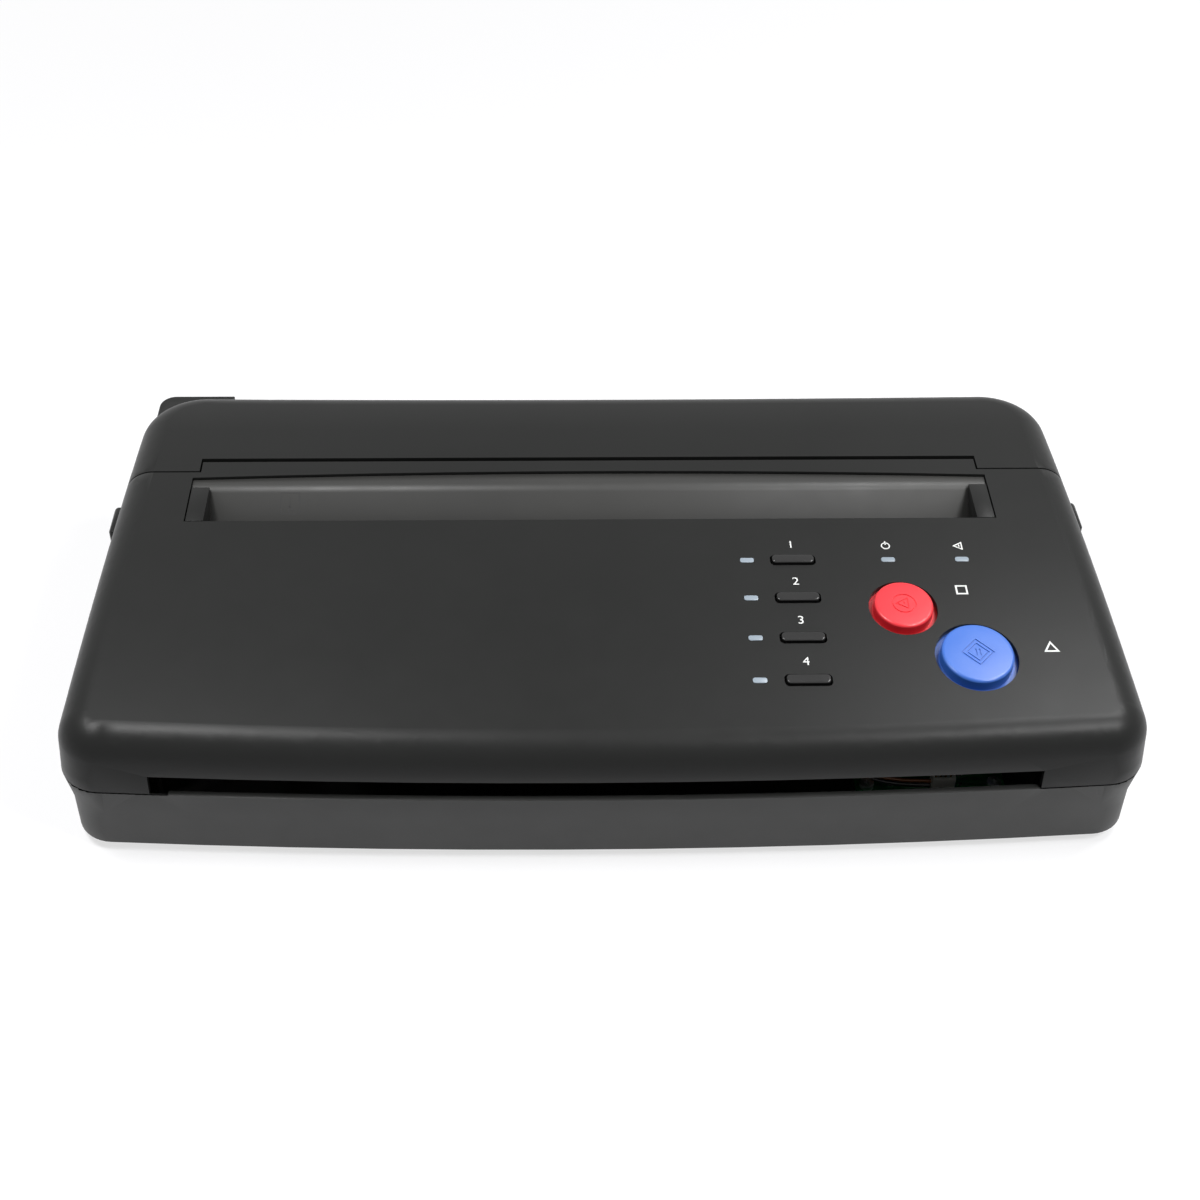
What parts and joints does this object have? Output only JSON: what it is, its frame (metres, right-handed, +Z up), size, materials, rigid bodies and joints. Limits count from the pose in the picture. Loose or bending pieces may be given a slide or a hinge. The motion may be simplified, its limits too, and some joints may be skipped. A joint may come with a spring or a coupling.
{
  "type": "thermal stencil copier",
  "caption": "Flat desktop thermal copier with a sloping control panel, a document recess under a lip, a rear stencil slot and a front exit slot; the latched front cover swings up.",
  "frame": {"origin": "centre of the footprint, on the surface that the feet stand on", "axes": "+X to the right as seen from the front, +Y to the back, +Z up; the front exit slot faces -Y"},
  "size_m": [0.4212, 0.2189, 0.076],
  "materials": {
    "black": "fine spark-eroded texture, moulded",
    "tray": "smooth moulded plastic",
    "key_black": "polished moulded plastic",
    "red": "satin moulded plastic",
    "blue": "satin moulded plastic",
    "lens": "pale diffusing plastic",
    "steel": "zinc plated steel",
    "bright_steel": "ground steel",
    "spring_steel": "spring steel",
    "aluminium": "extruded aluminium",
    "brass": "turned brass",
    "bush": "sintered bearing plastic",
    "gear": "white acetal",
    "rubber": "ground rubber",
    "feet": "moulded rubber",
    "board": "green solder mask",
    "white": "white nylon",
    "yellow": "tape-wrapped winding",
    "can": "sleeved can",
    "head": "glazed ceramic",
    "glass": "polished glass",
    "motor": "black lacquered steel",
    "lead_brown": "PVC insulation",
    "lead_black": "PVC insulation"
  },
  "bodies": {
    "base": {"bottom_casing": "black", "rear_cover": "black", "rubber_feet": "feet", "casing_screws": "steel", "frame_screws": "steel", "hinge_pins": "bright_steel", "left_side_frame": "steel", "right_side_frame": "steel", "roller_bushes": "bush", "idler_stud": "bright_steel", "stepper_motor": "motor", "thermal_print_head": "head", "head_heat_sink": "aluminium", "head_springs": "spring_steel", "head_support_beam": "steel", "exit_chute": "black", "stencil_chute": "steel", "main_board": "board", "board_connectors": "white", "power_supply_board": "board", "transformer": "yellow", "capacitors": "can", "supply_heat_sink": "aluminium", "power_inlet": "key_black", "inlet_blades": "brass", "switch_housing": "key_black", "motor_leads": "lead_brown", "supply_leads": "lead_black"},
    "front_cover_unit": {"front_cover": "black", "document_tray": "tray", "indicator_windows": "lens", "indicator_lamps": "lens", "control_board": "board", "control_switches": "key_black", "cover_screws": "steel", "sensor_glass": "glass", "image_sensor_bar": "black", "latch_spring_left": "spring_steel", "latch_spring_right": "spring_steel"},
    "left_latch": {"latch_left": "black"},
    "right_latch": {"latch_right": "black"},
    "left_guide": {"paper_guide_left": "black"},
    "right_guide": {"paper_guide_right": "black"},
    "guide_wheel": {"guide_pinion": "gear"},
    "platen_roller": {"platen_shaft": "bright_steel", "platen_rubber": "rubber", "platen_gear": "gear"},
    "feed_roller": {"feed_shaft": "bright_steel", "feed_tyres": "rubber", "feed_gear": "gear"},
    "idler": {"idler_gear": "gear"},
    "motor_rotor": {"motor_shaft": "bright_steel", "motor_pinion": "brass"},
    "stop_key": {"stop_button": "red"},
    "copy_key": {"copy_button": "blue"},
    "rocker": {"power_rocker": "key_black"},
    "key_1": {"mode_key_1": "key_black"},
    "key_2": {"mode_key_2": "key_black"},
    "key_3": {"mode_key_3": "key_black"},
    "key_4": {"mode_key_4": "key_black"}
  },
  "joints": [
    {"name": "cover_hinge", "type": "hinge", "parent": "base", "child": "front_cover_unit", "pos_m": [0, -0.0955, 0.0472], "axis": [1, 0, 0], "range_deg": [0, 55]},
    {"name": "left_latch_press", "type": "slide", "parent": "front_cover_unit", "child": "left_latch", "axis": [1, 0, 0], "range_m": [0, 0.003], "stiffness_N_per_m": 500, "springref_m": -0.002, "deforming": ["latch_spring_left"]},
    {"name": "right_latch_press", "type": "slide", "parent": "front_cover_unit", "child": "right_latch", "axis": [-1, 0, 0], "range_m": [0, 0.003], "stiffness_N_per_m": 500, "springref_m": -0.002, "deforming": ["latch_spring_right"]},
    {"name": "left_guide_slide", "type": "slide", "parent": "front_cover_unit", "child": "left_guide", "axis": [1, 0, 0], "range_m": [0, 0.052]},
    {"name": "right_guide_slide", "type": "slide", "parent": "front_cover_unit", "child": "right_guide", "axis": [-1, 0, 0], "range_m": [0, 0.052]},
    {"name": "guide_pinion_spin", "type": "hinge", "parent": "front_cover_unit", "child": "guide_wheel", "pos_m": [-0.0033, 0.002, 0.0575], "axis": [0, 0, 1], "range_deg": [-500, 0]},
    {"name": "platen_spin", "type": "hinge", "parent": "base", "child": "platen_roller", "pos_m": [0, 0.0205, 0.028], "axis": [1, 0, 0], "continuous": true},
    {"name": "feed_spin", "type": "hinge", "parent": "base", "child": "feed_roller", "pos_m": [0, -0.01151, 0.03364], "axis": [1, 0, 0], "continuous": true},
    {"name": "idler_spin", "type": "hinge", "parent": "base", "child": "idler", "pos_m": [-0.1306, -0.03261, 0.02025], "axis": [1, 0, 0], "continuous": true},
    {"name": "motor_spin", "type": "hinge", "parent": "base", "child": "motor_rotor", "pos_m": [-0.1306, -0.04952, 0.02202], "axis": [1, 0, 0], "continuous": true},
    {"name": "stop_press", "type": "slide", "parent": "front_cover_unit", "child": "stop_key", "axis": [0, 0.1013, -0.9949], "range_m": [0, 0.002], "stiffness_N_per_m": 400, "springref_m": -0.002},
    {"name": "copy_press", "type": "slide", "parent": "front_cover_unit", "child": "copy_key", "axis": [0, 0.1243, -0.9922], "range_m": [0, 0.002], "stiffness_N_per_m": 400, "springref_m": -0.002},
    {"name": "power_rock", "type": "hinge", "parent": "base", "child": "rocker", "pos_m": [0.11, 0.1021, 0.019], "axis": [1, 0, 0], "range_deg": [0, 18]},
    {"name": "mode_key_1_press", "type": "slide", "parent": "front_cover_unit", "child": "key_1", "axis": [0, 0.0771, -0.997], "range_m": [0, 0.0008], "stiffness_N_per_m": 400, "springref_m": -0.001},
    {"name": "mode_key_2_press", "type": "slide", "parent": "front_cover_unit", "child": "key_2", "axis": [0, 0.0961, -0.9954], "range_m": [0, 0.0008], "stiffness_N_per_m": 400, "springref_m": -0.001},
    {"name": "mode_key_3_press", "type": "slide", "parent": "front_cover_unit", "child": "key_3", "axis": [0, 0.1151, -0.9934], "range_m": [0, 0.0008], "stiffness_N_per_m": 400, "springref_m": -0.001},
    {"name": "mode_key_4_press", "type": "slide", "parent": "front_cover_unit", "child": "key_4", "axis": [0, 0.1341, -0.991], "range_m": [0, 0.0008], "stiffness_N_per_m": 400, "springref_m": -0.001}
  ],
  "couplings": [
    {"joint": "right_guide_slide", "follows": "left_guide_slide", "ratio": 1},
    {"joint": "guide_pinion_spin", "follows": "left_guide_slide", "rad_per_m": -166.67},
    {"joint": "feed_spin", "follows": "platen_spin", "ratio": -1.1667},
    {"joint": "idler_spin", "follows": "platen_spin", "ratio": 1.75},
    {"joint": "motor_spin", "follows": "platen_spin", "ratio": -2.5}
  ]
}
